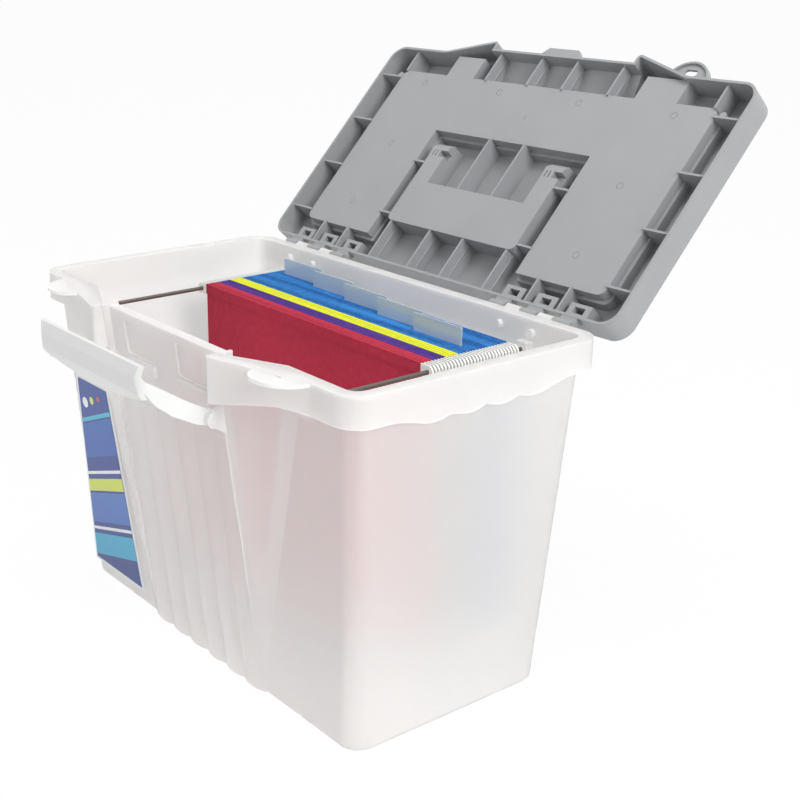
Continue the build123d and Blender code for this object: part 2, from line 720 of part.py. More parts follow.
with BuildPart() as lid_shell:
    with BuildSketch(level(lid_floor)):
        add(lid_outline)
    extrude(amount=lid_height)
    fillet(lid_shell.faces().sort_by(lid_axis)[-1].edges(), 2.4)
    # half-round loop on the right of the front edge: a rimmed plate with a slot
    loop_y = -lid_depth / 2 + 2
    with BuildSketch(level(lid_floor + loop_lift)):
        with Locations((loop_centre, loop_y)):
            Circle(loop_radius)
        with Locations((loop_centre, loop_y - loop_radius / 2)):
            SlotOverall(loop_slot, loop_slot_width, mode=Mode.SUBTRACT)
        with Locations((loop_centre, loop_y + loop_radius)):
            Rectangle(3 * loop_radius, 2 * loop_radius, mode=Mode.SUBTRACT)
    extrude(amount=loop_plate)
    with BuildSketch(level(lid_floor + loop_lift + (loop_plate - loop_rim_height) / 2)):
        with Locations((loop_centre, loop_y)):
            Circle(loop_radius)
            Circle(loop_radius - loop_rim, mode=Mode.SUBTRACT)
        with Locations((loop_centre, loop_y + loop_radius)):
            Rectangle(3 * loop_radius, 2 * loop_radius, mode=Mode.SUBTRACT)
    extrude(amount=loop_rim_height)
    with BuildSketch(level(lid_floor)):
        add(lid_outline)
        offset(amount=-lid_wall, kind=Kind.INTERSECTION, mode=Mode.REPLACE)
    extrude(amount=lid_height - lid_skin, mode=Mode.SUBTRACT)
    # tray, finger pocket and arm channels, seen from below as blocks
    with BuildSketch(level(tray_floor)):
        add(tray_outline(0))
    extrude(amount=skin_foot - tray_floor + 0.5)
    with BuildSketch(level(lid_top - tray_step_depth - tray_wall)):
        add(tray_outline(-tray_step))
    extrude(amount=tray_step_depth)
    with BuildSketch(level(lid_floor + pocket_lift)):
        add(pocket_outline(0))
    extrude(amount=skin_foot - lid_floor - pocket_lift + 0.5)
    with BuildSketch(level(lid_top - channel_depth - tray_wall)):
        add(channel_outline(0))
    extrude(amount=channel_depth)
    # gussets between the blocks and the skirt
    gusset_height = skin_foot - lid_floor - gusset_lift + 0.5
    inside_back = lid_depth / 2 - lid_wall / 2
    inside_side = lid_width / 2 - lid_wall / 2
    inside_front = lid_depth / 2 - lid_wall / 2
    arm_line = pocket_half_width - channel_width / 3
    front_line = tray_half_width - 4
    middle_line = notch_half_width / 4.5
    side_lines = [tray_front + 9 + i * (tray_back - tray_front - 18) / 3 for i in range(4)]
    with BuildSketch(level(lid_floor + gusset_lift)):
        for x in (-arm_line, -middle_line, middle_line, arm_line):
            with Locations((x, (pocket_back - 1 + inside_back) / 2)):
                Rectangle(gusset_thickness, inside_back - pocket_back + 1)
            with Locations((x, (tray_front + 1 + lid_middle + lid_wall / 2) / 2)):
                Rectangle(gusset_thickness, tray_front + 1 - lid_middle - lid_wall / 2)
        for y in side_lines:
            for side in (-1, 1):
                with Locations((side * (tray_half_width - 1 + inside_side) / 2, y)):
                    Rectangle(inside_side - tray_half_width + 1, gusset_thickness)
        for x in (-front_line, front_line):
            with Locations((x, (tray_front + 1 - inside_front) / 2)):
                Rectangle(gusset_thickness, inside_front + tray_front + 1)
        for x in (-middle_line, middle_line):
            with Locations((x, (notch_front - 1 + pocket_front + 1) / 2)):
                Rectangle(gusset_thickness, pocket_front - notch_front + 2)
        # clips that bridge the arms' blocks and the tray
        for y in (channel_front + 24, pocket_back - 7):
            for side in (-1, 1):
                with Locations((side * (pocket_half_width + notch_half_width) / 2, y)):
                    Rectangle(notch_half_width - pocket_half_width + 2, gusset_thickness)
        # ribs between the hinge blocks
        for side in (-1, 1):
            for step in (-0.5, 0.5):
                x = side * hinge_centre + step * lid_knuckle_pitch
                with Locations((x, (tray_back - 1 + inside_back) / 2)):
                    Rectangle(gusset_thickness, inside_back - tray_back + 1)
    extrude(amount=gusset_height)
    # a thin bead along each long gusset
    with BuildSketch(level(lid_floor + bead_lift)):
        for x in (-arm_line, -middle_line, middle_line, arm_line):
            with Locations((x, (pocket_back - 1 + inside_back) / 2)):
                Rectangle(2 * gusset_thickness, inside_back - pocket_back + 1)
            with Locations((x, (tray_front + 1 + lid_middle + lid_wall / 2) / 2)):
                Rectangle(2 * gusset_thickness, tray_front + 1 - lid_middle - lid_wall / 2)
    extrude(amount=gusset_thickness / 2)
    # hinge blocks with slots, and pegs at the tray's front corners
    with BuildSketch(level(lid_floor + 2 * gusset_lift)):
        for side in (-1, 1):
            for step in (-1, 0, 1):
                with Locations((side * hinge_centre + step * lid_knuckle_pitch, inside_back - 7)):
                    Rectangle(lid_knuckle_width + 6, 14)
    extrude(amount=skin_foot - lid_floor - 2 * gusset_lift + 0.5)
    with BuildSketch(level(lid_floor + 2 * gusset_lift)):
        for side in (-1, 1):
            for step in (-1, 0, 1):
                with Locations((side * hinge_centre + step * lid_knuckle_pitch, inside_back - 8)):
                    Rectangle(slot_length, slot_width)
    extrude(amount=skin_foot - lid_floor - 3 * gusset_lift, mode=Mode.SUBTRACT)
    with BuildSketch(level(lid_floor + 2 * gusset_lift)):
        for side in (-1, 1):
            with Locations((side * (tray_half_width + 5), tray_front + 5)):
                Circle(peg_radius)
    extrude(amount=skin_foot - lid_floor - 2 * gusset_lift + 0.5)
    # hollow bosses in front of the tray, flush with its floor
    for near, far in (boss_left, boss_right):
        boss_length = far - near
        boss_y = (tray_front + 1 - inside_front) / 2
        boss_width = inside_front + tray_front + 1
        with BuildSketch(level(tray_floor)):
            with Locations(((near + far) / 2, boss_y)):
                Rectangle(boss_length, boss_width)
        extrude(amount=skin_foot - tray_floor + 0.5)
        with BuildSketch(level(tray_floor + tray_wall)):
            with Locations(((near + far) / 2, boss_y - tray_wall)):
                Rectangle(boss_length - 2 * tray_wall, boss_width - 4 * tray_wall)
        extrude(amount=lid_height, mode=Mode.SUBTRACT)
    # sloped brow on the front edge
    slope = brow_height / sin(radians(brow_angle)) * cos(radians(brow_angle))
    drop = lid_skin / cos(radians(brow_angle))
    brow_half = bow_half + 1.9
    with BuildSketch(opened(across(-brow_half - lid_wall))):
        with BuildLine():
            Polyline(
                (lid_middle + 0.5, lid_top - brow_height),
                (lid_middle + slope, lid_top - 0.5),
                (lid_middle + slope + 6, lid_top - 0.5),
                (lid_middle + slope + 6, skin_foot),
                (lid_middle + 0.5, lid_top - brow_height - drop),
                close=True,
            )
        make_face()
    extrude(amount=2 * brow_half + 2 * lid_wall)
    for start in (-brow_half - lid_wall, brow_half):
        with BuildSketch(opened(across(start))):
            with BuildLine():
                Polyline(
                    (lid_middle + 0.5, lid_top - 0.5),
                    (lid_middle + slope + 6, lid_top - 0.5),
                    (lid_middle + slope + 6, skin_foot),
                    (lid_middle + 0.5, lid_top - brow_height - drop),
                    close=True,
                )
            make_face()
        extrude(amount=lid_wall)
    with BuildSketch(opened(across(-brow_half))):
        with BuildLine():
            Polyline(
                (lid_middle - 1, lid_top - brow_height - 0.4),
                (lid_middle + slope, lid_top + 0.1),
                (lid_middle - 1, lid_top + 0.1),
                close=True,
            )
        make_face()
    extrude(amount=2 * brow_half, mode=Mode.SUBTRACT)
    # hollows above
    with BuildSketch(level(tray_floor + tray_wall)):
        add(tray_outline(tray_wall))
    extrude(amount=lid_height, mode=Mode.SUBTRACT)
    with BuildSketch(level(lid_top - tray_step_depth)):
        add(tray_outline(tray_wall - tray_step))
    extrude(amount=lid_height, mode=Mode.SUBTRACT)
    with BuildSketch(level(lid_floor + pocket_lift + tray_wall)):
        add(pocket_outline(tray_wall))
    extrude(amount=lid_height, mode=Mode.SUBTRACT)
    with BuildSketch(level(lid_top - channel_depth)):
        add(channel_outline(tray_wall))
    extrude(amount=lid_height, mode=Mode.SUBTRACT)
    # lift tab at the middle of the front edge
    with BuildSketch(level(lid_floor)):
        with BuildLine():
            Polyline(
                (-tab_half_width, lid_middle + 1),
                (-tab_half_width + 7, lid_middle - tab_forward),
                (tab_half_width - 7, lid_middle - tab_forward),
                (tab_half_width, lid_middle + 1),
                close=True,
            )
        make_face()
    extrude(amount=tab_depth)
    # hinge arms
    for side in (-1, 1):
        for step in (-1, 0, 1):
            middle = side * hinge_centre + step * lid_knuckle_pitch
            with BuildSketch(opened(across(middle - lid_knuckle_width / 2))):
                with Locations((hinge_y, hinge_z)):
                    Circle(hinge_radius)
                with BuildLine():
                    Polyline(
                        (lid_depth / 2 - 1, lid_floor + 0.2),
                        (rim_depth / 2 + 0.3, lid_floor + 0.2),
                        (rim_depth / 2 + 0.3, hinge_z),
                        (hinge_y + hinge_radius, hinge_z),
                        (hinge_y + hinge_radius * 0.7, hinge_z + hinge_radius * 0.8),
                        (lid_depth / 2 - 1, lid_floor + 11),
                        close=True,
                    )
                make_face()
                with Locations((hinge_y, hinge_z)):
                    Circle(hinge_pin_radius + hinge_fit, mode=Mode.SUBTRACT)
            extrude(amount=lid_knuckle_width)
    # ears for the organizer cover
    ear_y = tray_back + cover_lap + cover_knuckle_radius + 0.8
    ear_z = lid_top + cover_knuckle_radius + 0.6
    for side in (-1, 1):
        for step in (-1, 1):
            reach = cover_knuckle_width / 2 + 0.5
            start = side * cover_hinge_centre + (reach if step > 0 else -reach - cover_ear_width)
            with BuildSketch(opened(across(start))):
                with Locations((ear_y, ear_z)):
                    Circle(cover_knuckle_radius)
                with Locations((ear_y, (ear_z + lid_top - 1) / 2)):
                    Rectangle(2 * cover_knuckle_radius, ear_z - lid_top + 1)
                with Locations((ear_y, ear_z)):
                    Circle(cover_pin_radius + hinge_fit, mode=Mode.SUBTRACT)
            extrude(amount=cover_ear_width)
    # holes for the carry handle's pins
    for side in (-1, 1):
        with BuildSketch(opened(across(side * (pocket_half_width - tray_wall - 1)))):
            with Locations((carry_pivot_y, carry_pivot_z)):
                Circle(carry_pin_radius + carry_fit)
        extrude(amount=side * (tray_wall + 1.5), mode=Mode.SUBTRACT)

lid_shell.part.label = "lid_shell"

with BuildPart() as lid_hinge_pins:
    for side in (-1, 1):
        with BuildSketch(opened(across(side * hinge_centre - hinge_pin_length / 2))):
            with Locations((hinge_y, hinge_z)):
                Circle(hinge_pin_radius)
        extrude(amount=hinge_pin_length)

lid_hinge_pins.part.label = "lid_hinge_pins"

# ------------------------------------------------------------------ organizer cover

cover_foot = lid_top + cover_gap

with BuildPart() as organizer_cover:
    with BuildSketch(level(cover_foot)):
        add(tray_outline(-cover_lap))
        with Locations((0, tray_front - cover_lap)):
            RectangleRounded(cover_tab_width, 2 * cover_tab_forward, 3)
    extrude(amount=cover_thickness)
    with BuildSketch(level(cover_foot - cover_lip)):
        add(tray_outline(tray_wall - tray_step + cover_lip_gap))
        add(tray_outline(tray_wall - tray_step + cover_lip_gap + cover_lip_wall), mode=Mode.SUBTRACT)
    extrude(amount=cover_lip)
    for side in (-1, 1):
        with BuildSketch(opened(across(side * cover_hinge_centre - cover_knuckle_width / 2))):
            with Locations((ear_y, ear_z)):
                Circle(cover_knuckle_radius)
            with BuildLine():
                Polyline(
                    (tray_back + cover_lap - 2, cover_foot),
                    (ear_y, ear_z - cover_knuckle_radius + 0.05),
                    (ear_y, ear_z + cover_knuckle_radius - 0.05),
                    (tray_back + cover_lap - 4, cover_foot + cover_thickness),
                    (tray_back + cover_lap - 4, cover_foot),
                    close=True,
                )
            make_face()
            with Locations((ear_y, ear_z)):
                Circle(cover_pin_radius + hinge_fit, mode=Mode.SUBTRACT)
        extrude(amount=cover_knuckle_width)

organizer_cover.part.label = "organizer_cover"

with BuildPart() as cover_hinge_pins:
    for side in (-1, 1):
        length = cover_knuckle_width + 2 * cover_ear_width + 1
        with BuildSketch(opened(across(side * cover_hinge_centre - length / 2))):
            with Locations((ear_y, ear_z)):
                Circle(cover_pin_radius)
        extrude(amount=length)

cover_hinge_pins.part.label = "cover_hinge_pins"

# ------------------------------------------------------------------ carry handle

arm_middle = pocket_half_width - channel_width / 2

with BuildPart() as carry_handle:
    for side in (-1, 1):
        with BuildSketch(opened(across(side * arm_middle - carry_arm_width / 2))):
            with Locations((carry_pivot_y, carry_pivot_z)):
                Circle(carry_heel)
            with Locations(((carry_pivot_y + carry_grip_back - 5) / 2, carry_pivot_z)):
                Rectangle(carry_grip_back - 5 - carry_pivot_y, carry_thickness)
        extrude(amount=carry_arm_width)
        with BuildSketch(opened(across(side * (arm_middle + carry_arm_width / 2 - 1)))):
            with Locations((carry_pivot_y, carry_pivot_z)):
                Circle(carry_pin_radius)
        extrude(amount=side * (pocket_half_width - arm_middle - carry_arm_width / 2 + 0.7))
    with BuildSketch(level(lid_top - carry_flush - carry_thickness)):
        with Locations((0, carry_grip_back - carry_grip_width / 2)):
            RectangleRounded(2 * arm_middle + carry_arm_width, carry_grip_width, 7)
    extrude(amount=carry_thickness)

carry_handle.part.label = "carry_handle"

# ------------------------------------------------------------------ latch handle

band_front = pivot_y - latch_reach
band_belly = band_front - latch_belly
band_foot = pivot_z + latch_band_foot
band_top = pivot_z + latch_band_top
belly_z = band_top - 9


def latch_block():
    """The latch handle's outline in plan, as a tall block with rounded front corners."""
    back = pivot_y + latch_eye + 2 * latch_corner
    with BuildPart() as block:
        with BuildSketch(Plane.XY.offset(pivot_z - 2 * latch_eye)):
            with Locations((0, (back + band_belly) / 2)):
                RectangleRounded(2 * latch_half_width, back - band_belly, latch_corner)
        extrude(amount=latch_band_top + 4 * latch_eye)
    return block.part


with BuildPart() as latch_arms:
    add(latch_block())
    with BuildSketch(across(-bow_half)):
        with Locations((pivot_y, pivot_z)):
            Circle(latch_eye)
        with BuildLine():
            Polyline(
                (pivot_y, pivot_z + latch_eye),
                (pivot_y - 17, pivot_z + 15.5),
                (pivot_y - 43.5, pivot_z + 32.5),
                (band_front + latch_band, pivot_z + 38.5),
                (band_front, belly_z + 3),
                (band_belly, belly_z),
                (band_belly + 6, belly_z - 12),
                (pivot_y - 46, pivot_z + 19),
                (pivot_y - 31.7, pivot_z + 7.9),
                (pivot_y - 12.5, pivot_z - 2.2),
                (pivot_y, pivot_z - latch_eye),
                close=True,
            )
        make_face()
    extrude(amount=2 * bow_half, mode=Mode.INTERSECT)
    with BuildSketch(across(-latch_half_width + latch_arm)):
        with Locations((pivot_y - latch_reach / 2, pivot_z + latch_band_top / 2)):
            Rectangle(2 * latch_reach, 2 * latch_band_top)
    extrude(amount=2 * latch_half_width - 2 * latch_arm, mode=Mode.SUBTRACT)

with BuildPart() as latch_handle:
    add(latch_block())
    with BuildSketch(across(-bow_half)):
        with BuildLine():
            Polyline(
                (band_front, band_top),
                (band_belly, belly_z),
                (band_belly + 2, belly_z - 13),
                (band_belly + 7.4, band_foot),
                (band_belly + 7.4 + latch_band, band_foot + 2.5),
                (band_belly + 2 + latch_band, belly_z - 12),
                (band_belly + latch_band, belly_z),
                (band_front + latch_band, band_top),
                close=True,
            )
        make_face()
    extrude(amount=2 * bow_half, mode=Mode.INTERSECT)
    # the band's lower edge rises towards its ends
    with BuildSketch(Plane.XZ.offset(-band_belly - latch_corner)):
        with BuildLine():
            end = latch_half_width + 4
            rise = band_foot + latch_band_rise
            ThreePointArc((-end, rise), (0, band_foot), (end, rise))
            Polyline((end, rise), (end, band_foot - 12), (-end, band_foot - 12), (-end, rise))
        make_face()
    extrude(amount=latch_corner + 2, mode=Mode.SUBTRACT)
    add(latch_arms.part)
    for side in (-1, 1):
        start = side * (latch_half_width - 1)
        with BuildSketch(across(start)):
            with Locations((pivot_y, pivot_z)):
                Circle(latch_pin_radius)
        extrude(amount=side * (bow_half + 2 - latch_half_width))

latch_handle.part.label = "latch_handle"

# ------------------------------------------------------------------ files

pieces = (
    tub,
    front_label,
    index_tabs,
    tab_inserts,
    lid_shell,
    lid_hinge_pins,
    organizer_cover,
    cover_hinge_pins,
    carry_handle,
    latch_handle,
)
for piece in pieces:
    export_step(piece.part, f"parts/{piece.part.label}.step")
    print(piece.part.label, len(piece.solids()), "solid(s),", round(piece.part.volume / 1000, 1), "cm3")
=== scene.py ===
# %% [markdown]
# # A portable file box with an organizer lid
#
# The box is injection moulded: a frosted tub, a grey lid with ribs on its underside,
# and a bow-shaped latch. Hanging folders of coloured card ride on two steel rails.
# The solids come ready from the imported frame, in metres, with the box standing at the
# origin. This script gives each of them the surface of its real material, adds the
# thin printed and moulded details that solids of this kind leave out, and lights it.

import json
import math

import bmesh
import bpy
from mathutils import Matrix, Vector

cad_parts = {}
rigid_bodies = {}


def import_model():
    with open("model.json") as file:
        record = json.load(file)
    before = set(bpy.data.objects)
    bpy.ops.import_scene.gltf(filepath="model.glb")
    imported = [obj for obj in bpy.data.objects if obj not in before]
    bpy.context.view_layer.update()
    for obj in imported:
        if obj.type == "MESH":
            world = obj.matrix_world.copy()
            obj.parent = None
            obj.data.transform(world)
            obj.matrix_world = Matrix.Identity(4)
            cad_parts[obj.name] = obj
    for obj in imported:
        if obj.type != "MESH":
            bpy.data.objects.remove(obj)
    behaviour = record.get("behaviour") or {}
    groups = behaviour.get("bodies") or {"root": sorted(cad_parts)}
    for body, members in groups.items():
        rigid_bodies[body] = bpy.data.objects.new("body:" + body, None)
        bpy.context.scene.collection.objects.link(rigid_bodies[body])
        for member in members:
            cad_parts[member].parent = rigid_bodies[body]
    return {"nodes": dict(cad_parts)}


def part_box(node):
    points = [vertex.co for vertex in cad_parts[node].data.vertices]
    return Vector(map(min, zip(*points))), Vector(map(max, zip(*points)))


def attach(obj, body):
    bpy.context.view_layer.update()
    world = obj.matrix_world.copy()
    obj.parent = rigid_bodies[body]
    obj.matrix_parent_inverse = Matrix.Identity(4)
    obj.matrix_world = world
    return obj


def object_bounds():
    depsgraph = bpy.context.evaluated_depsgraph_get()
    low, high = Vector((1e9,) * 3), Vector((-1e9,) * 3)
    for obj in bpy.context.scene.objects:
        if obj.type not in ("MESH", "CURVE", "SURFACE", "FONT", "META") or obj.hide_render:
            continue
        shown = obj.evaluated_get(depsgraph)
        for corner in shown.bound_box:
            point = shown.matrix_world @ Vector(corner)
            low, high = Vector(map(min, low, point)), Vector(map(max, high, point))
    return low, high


for leftover in list(bpy.data.objects):
    bpy.data.objects.remove(leftover)

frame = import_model()
nodes = frame["nodes"]
scene = bpy.context.scene
cad_low, cad_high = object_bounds()
print("frame:", len(nodes), "nodes,", [round(side, 3) for side in cad_high - cad_low], "m")

# %% [markdown]
# ## The camera
#
# The camera stands off the front right corner, a little above the rim, and the box sits
# off the middle of the frame. Turning the camera until the box is in place would change
# how the edges converge. A lens shift moves the frame alone, so upright edges keep the
# lean that they have from this place.

# %% Camera
STAND = (0.8846, -0.6445, 0.5885)    # metres
TILT = 71.73             # degrees up from looking straight down
TURN = 52.92             # degrees to the left from looking along +Y
FILM_MM = 36
LENS_MM = 61.4
SHIFT_RIGHT, SHIFT_UP = 0.0988, -0.0299    # in widths of the frame

camera = bpy.data.objects.new("camera", bpy.data.cameras.new("camera"))
scene.collection.objects.link(camera)
scene.camera = camera
camera.location = STAND
camera.rotation_euler = (math.radians(TILT), 0, math.radians(TURN))
camera.data.sensor_width = FILM_MM
camera.data.lens = LENS_MM
camera.data.shift_x = SHIFT_RIGHT
camera.data.shift_y = SHIFT_UP
camera.data.clip_start = 0.05
print("camera:", tuple(round(v, 3) for v in camera.location), "lens", camera.data.lens, "mm")

# %% [markdown]
# ## Small tools
#
# Colours are written as they look on a screen and turned into the linear values that
# a renderer adds and multiplies. One function adds any shader node, with its settings
# and its links, so that a material reads as a short list of what goes into what.

# %% Colour and node helpers
MM = 0.001


def linear(hex_colour):
    """Turns an sRGB colour such as #A3A8AB into linear red, green, blue and alpha."""
    channels = [int(hex_colour[i : i + 2], 16) / 255 for i in (1, 3, 5)]
    return [c / 12.92 if c <= 0.04045 else ((c + 0.055) / 1.055) ** 2.4 for c in channels] + [1]


def add_node(tree, kind, inputs=None, **settings):
    """Adds a shader node, sets its options, and fills its inputs with values or links."""
    node = tree.nodes.new(kind)
    for name, value in settings.items():
        setattr(node, name, value)
    for name, value in (inputs or {}).items():
        if isinstance(value, bpy.types.NodeSocket):
            tree.links.new(value, node.inputs[name])
        else:
            node.inputs[name].default_value = value
    return node


def new_material(name, **surface):
    """Starts a material with one Principled shader, and gives back both."""
    material = bpy.data.materials.new(name)
    material.use_nodes = True
    shader = material.node_tree.nodes["Principled BSDF"]
    for socket, value in surface.items():
        shader.inputs[socket.replace("_", " ")].default_value = value
    return material, shader


def per_metre(size_mm):
    """The scale of a noise texture whose spots are about this many millimetres wide."""
    return 1 / (size_mm * MM)


print("mid grey #808080 is", round(linear("#808080")[0], 3), "in linear light")

# %% [markdown]
# ## Studio
#
# The box stands on a white sweep under soft boxes. Lighting the floor until it is white
# would bleach the box with it. Instead the floor gives out by itself most of what the
# camera sees there, and the rest is its paint, which still takes the object's shadow.
# The lamps stay at a level where a colour comes out about as bright as it is written.

# %% Floor
FLOOR_HALF = 30.0        # metres, so that its edges are out of sight
FLOOR_GAP = 0.2 * MM     # below the box, so that the two faces don't flicker
FLOOR_SHOWN = 0.96       # share of the floor's look that it gives out by itself


def seen_directly(tree):
    """1 for rays that look at a surface straight, in a reflection or through glass."""
    path = add_node(tree, "ShaderNodeLightPath")
    shiny = add_node(
        tree,
        "ShaderNodeMath",
        {0: path.outputs["Is Glossy Ray"], 1: path.outputs["Is Transmission Ray"]},
        operation="MAXIMUM",
    )
    return add_node(
        tree,
        "ShaderNodeMath",
        {0: path.outputs["Is Camera Ray"], 1: shiny.outputs[0]},
        operation="MAXIMUM",
    ).outputs[0]


floor_mesh = bpy.data.meshes.new("floor")
floor_mesh.from_pydata(
    [(x * FLOOR_HALF, y * FLOOR_HALF, 0) for x, y in ((-1, -1), (1, -1), (1, 1), (-1, 1))],
    [],
    [(0, 1, 2, 3)],
)
floor = bpy.data.objects.new("floor", floor_mesh)
floor.location.z = cad_low.z - FLOOR_GAP
scene.collection.objects.link(floor)

sweep, sweep_shader = new_material(
    "painted_studio_floor", Base_Color=linear("#F2F2F2"), Roughness=0.9
)
tree = sweep.node_tree
share = add_node(
    tree, "ShaderNodeMath", {0: seen_directly(tree), 1: FLOOR_SHOWN}, operation="MULTIPLY"
)
glow = add_node(tree, "ShaderNodeEmission", {"Color": (1, 1, 1, 1), "Strength": 1.0})
mixed = add_node(
    tree,
    "ShaderNodeMixShader",
    {0: share.outputs[0], 1: sweep_shader.outputs[0], 2: glow.outputs[0]},
)
tree.links.new(mixed.outputs[0], tree.nodes["Material Output"].inputs["Surface"])
floor_mesh.materials.append(sweep)
print("floor at z =", round(floor.location.z, 4), "m")

# %% World
WORLD_LIGHT = 0.4        # what the world gives the box, where the camera sees white

world = bpy.data.worlds.new("studio")
scene.world = world
world.use_nodes = True
tree = world.node_tree
strength = add_node(
    tree,
    "ShaderNodeMapRange",
    {"Value": seen_directly(tree), "To Min": WORLD_LIGHT, "To Max": 1.0},
)
backdrop = tree.nodes["Background"]
backdrop.inputs["Color"].default_value = (1, 1, 1, 1)
tree.links.new(strength.outputs[0], backdrop.inputs["Strength"])
scene.view_settings.view_transform = "Standard"
print("world light", WORLD_LIGHT)

# %% Soft boxes
AIM = (0, 0, 0.25)       # about the middle of the box
SOFT_BOXES = (
    # name, place in metres, side in metres, watts
    ("key", (2.6, -0.35, 1.7), 1.1, 50),
    ("top", (0.5, 0.1, 2.8), 1.3, 35),
    ("fill", (-1.2, -2.4, 1.9), 1.6, 12),
)


def soft_box(name, place, side, watts):
    """A square area lamp that faces the box."""
    lamp = bpy.data.objects.new(name, bpy.data.lights.new(name, "AREA"))
    scene.collection.objects.link(lamp)
    lamp.data.size = side
    lamp.data.energy = watts
    lamp.location = place
    lamp.rotation_euler = (Vector(AIM) - Vector(place)).to_track_quat("-Z", "Y").to_euler()


for name, place, side, watts in SOFT_BOXES:
    soft_box(name, place, side, watts)
print("soft boxes:", ", ".join(f"{name} {watts} W" for name, _, _, watts in SOFT_BOXES))

# %% [markdown]
# ## What moulded surfaces share
#
# No moulded or pressed surface is one flat colour. Its shade drifts a little, and its
# skin has a fine relief. Both could come from photographs of plastic and card, but
# these would need a layout on every rib and fold. Noise needs none: it fills space, and
# its scale follows from the real size of a spot.

# %% Clouds and fine relief
def clouded(tree, shader, place, cloud_mm, detail, shade, colour):
    """Lets the colour of a surface drift between two shades in soft clouds."""
    clouds = add_node(
        tree,
        "ShaderNodeTexNoise",
        {"Vector": place, "Scale": per_metre(cloud_mm), "Detail": detail},
    )
    drift = add_node(
        tree,
        "ShaderNodeMix",
        {"Factor": clouds.outputs["Fac"], "A": linear(shade), "B": linear(colour)},
        data_type="RGBA",
    )
    tree.links.new(drift.outputs["Result"], shader.inputs["Base Color"])


def fine_relief(tree, shader, place, grain_mm, detail, strength, depth, rounding=None):
    """Gives a surface a fine relief, and edges that look rounded if a radius is given."""
    grains = add_node(
        tree,
        "ShaderNodeTexNoise",
        {"Vector": place, "Scale": per_metre(grain_mm), "Detail": detail},
    )
    relief = add_node(
        tree,
        "ShaderNodeBump",
        {"Height": grains.outputs["Fac"], "Strength": strength, "Distance": depth},
    )
    if rounding:
        edge = add_node(tree, "ShaderNodeBevel", {"Radius": rounding}, samples=4)
        tree.links.new(edge.outputs["Normal"], relief.inputs["Normal"])
    tree.links.new(relief.outputs["Normal"], shader.inputs["Normal"])


print("a spot of 1 mm takes a noise scale of", round(per_metre(1)))

# %% [markdown]
# ## Frosted polypropylene
#
# The tub is natural polypropylene, moulded about 2.4 mm thick. The plastic is milky by
# itself: crystals in it scatter light, so a wall glows with whatever colour lies behind
# it and shows no sharp outline. Its outside is lightly blasted in the mould, which
# breaks up reflections. Light scattered inside the wall could be followed ray by ray,
# but in so thin a wall that is slow and grainy. A share of rough transmission gives the
# same glow and blur, and a fine bump gives the blasted skin.
#
# Corners and rims hold more plastic than a wall, so less shows through them and they
# look whiter. They are found where a normal that is rounded over one wall's thickness
# turns away from the surface's own.

# %% How much shows through
POLYPROPYLENE_IOR = 1.49
THICK_EDGE_MM = 2.4      # about one wall's thickness
EDGE_COSINE = 0.8        # a rounded normal that turns away this far is at an edge
EDGE_SHARE = 0.3         # of what shows through a wall, this much shows through an edge


def shows_through(tree, see_through):
    """The transmission of a wall, which falls towards its corners and rims."""
    rounded = add_node(tree, "ShaderNodeBevel", {"Radius": THICK_EDGE_MM * MM}, samples=6)
    surface = add_node(tree, "ShaderNodeNewGeometry")
    turned = add_node(
        tree,
        "ShaderNodeVectorMath",
        {0: rounded.outputs["Normal"], 1: surface.outputs["Normal"]},
        operation="DOT_PRODUCT",
    )
    return add_node(
        tree,
        "ShaderNodeMapRange",
        {
            "Value": turned.outputs["Value"],
            "From Min": EDGE_COSINE,
            "To Min": EDGE_SHARE * see_through,
            "To Max": see_through,
        },
    ).outputs[0]


print("an edge turns away by", round(math.degrees(math.acos(EDGE_COSINE))), "degrees or more")

# %% [markdown]
# ## Light behind a frosted wall
#
# A real milky wall passes lamp light on, so the inside of the tub is bright. A
# renderer's glass stops the light of a lamp, and finding its way by bounces is slow. So
# a part of each shadow ray is let through instead, which changes nothing in what the
# camera sees of the wall itself.

# %% Light that gets through
LIGHT_THROUGH = 0.6      # how much of a lamp's light goes on behind each face of a wall


def let_light_through(tree, shader):
    """Lets a part of each lamp's light go on behind the surface."""
    path = add_node(tree, "ShaderNodeLightPath")
    share = add_node(
        tree,
        "ShaderNodeMath",
        {0: path.outputs["Is Shadow Ray"], 1: LIGHT_THROUGH},
        operation="MULTIPLY",
    )
    clear = add_node(tree, "ShaderNodeBsdfTransparent")
    surface = add_node(
        tree,
        "ShaderNodeMixShader",
        {0: share.outputs[0], 1: shader.outputs[0], 2: clear.outputs[0]},
    )
    tree.links.new(surface.outputs[0], tree.nodes["Material Output"].inputs["Surface"])


print("a wall of two faces passes on", round(LIGHT_THROUGH**2, 2), "of a lamp's light")

# %% Frosted polypropylene materials
CLOUD_MM = 90.0
BLAST_GRAIN_MM = 0.7     # finer on the real wall: drawn coarser so that it shows
BLAST_DEPTH = 0.05 * MM
TUB_EDGE = 0.7 * MM      # the radius that the tool leaves on an edge


def frosted(name, colour, shade, see_through, roughness, grain):
    """Milky polypropylene with a blasted skin, faint clouds in it and whiter edges."""
    material, shader = new_material(name, Roughness=roughness, IOR=POLYPROPYLENE_IOR)
    tree = material.node_tree
    tree.links.new(shows_through(tree, see_through), shader.inputs["Transmission Weight"])
    place = add_node(tree, "ShaderNodeTexCoord").outputs["Object"]
    clouded(tree, shader, place, CLOUD_MM, 3, shade, colour)
    fine_relief(tree, shader, place, BLAST_GRAIN_MM, 2, grain, BLAST_DEPTH, TUB_EDGE)
    let_light_through(tree, shader)
    return material


